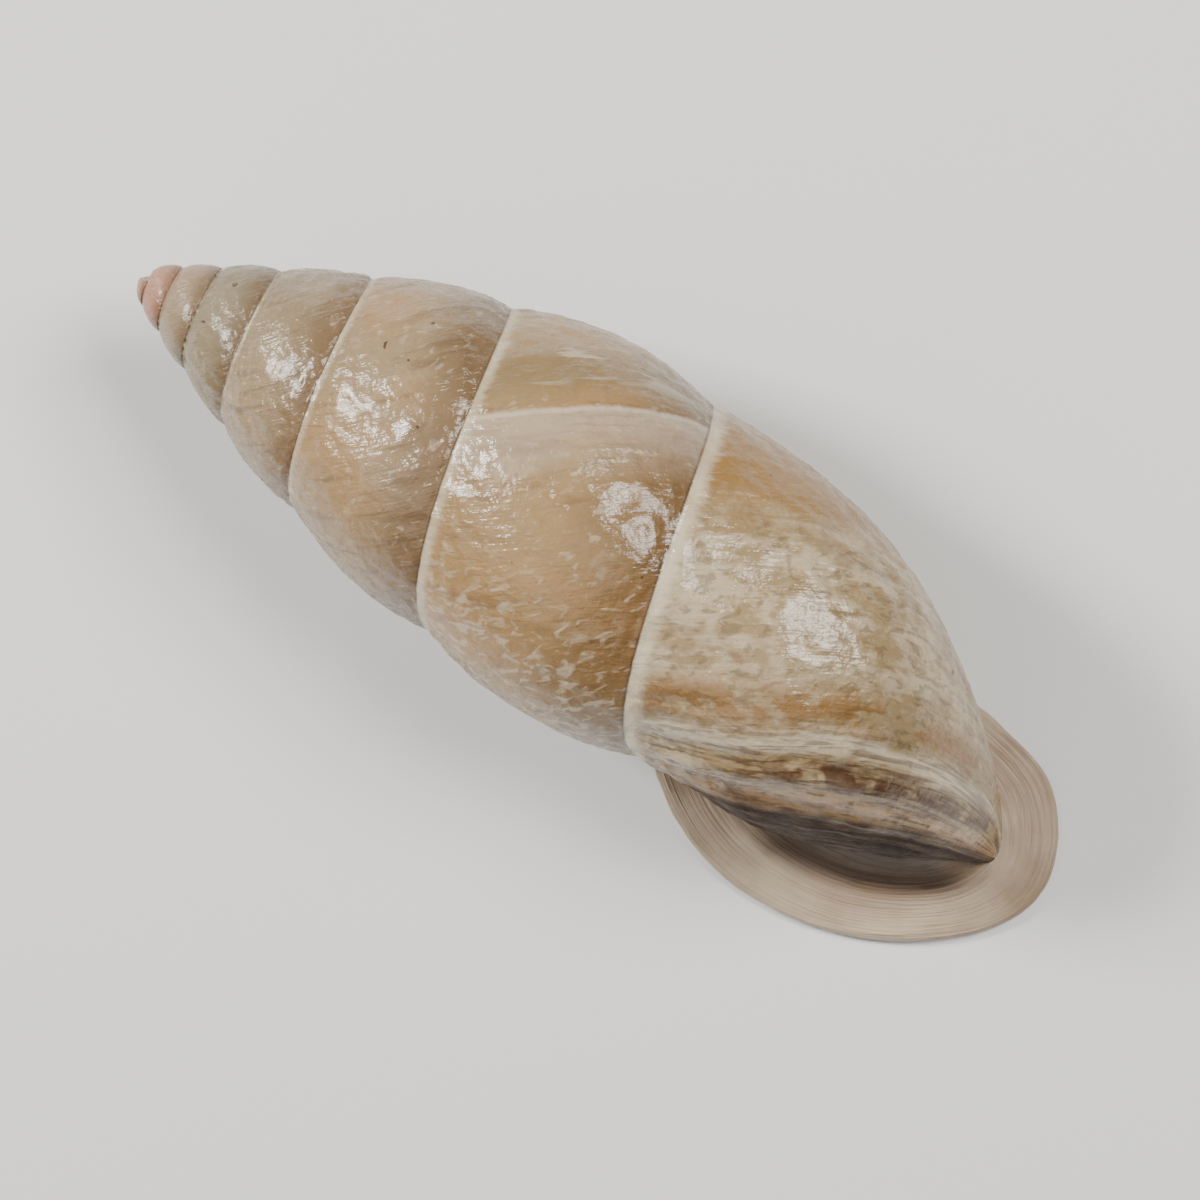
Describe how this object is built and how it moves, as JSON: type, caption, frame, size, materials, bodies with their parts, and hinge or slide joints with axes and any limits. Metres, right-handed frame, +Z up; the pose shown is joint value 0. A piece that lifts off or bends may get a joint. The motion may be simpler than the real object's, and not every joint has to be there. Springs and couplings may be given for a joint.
{
  "type": "land snail shell",
  "caption": "Empty shell of a large land snail: a tall right-handed spiral with a broad flared lip, lying mouth down.",
  "frame": {"origin": "centre of the shell's bounding box, on the ground that the shell lies on", "axes": "+X along the shell's axis, from the tip of the spire to the lip; +Y across, away from the lip's outer side; +Z up, from the mouth to the back of the shell"},
  "size_m": [0.0808, 0.0304, 0.0266],
  "materials": {
    "shell": "glossy tan and cream, with a satin cream-pink lip"
  },
  "bodies": {
    "root": {"shell": "shell"}
  },
  "joints": []
}
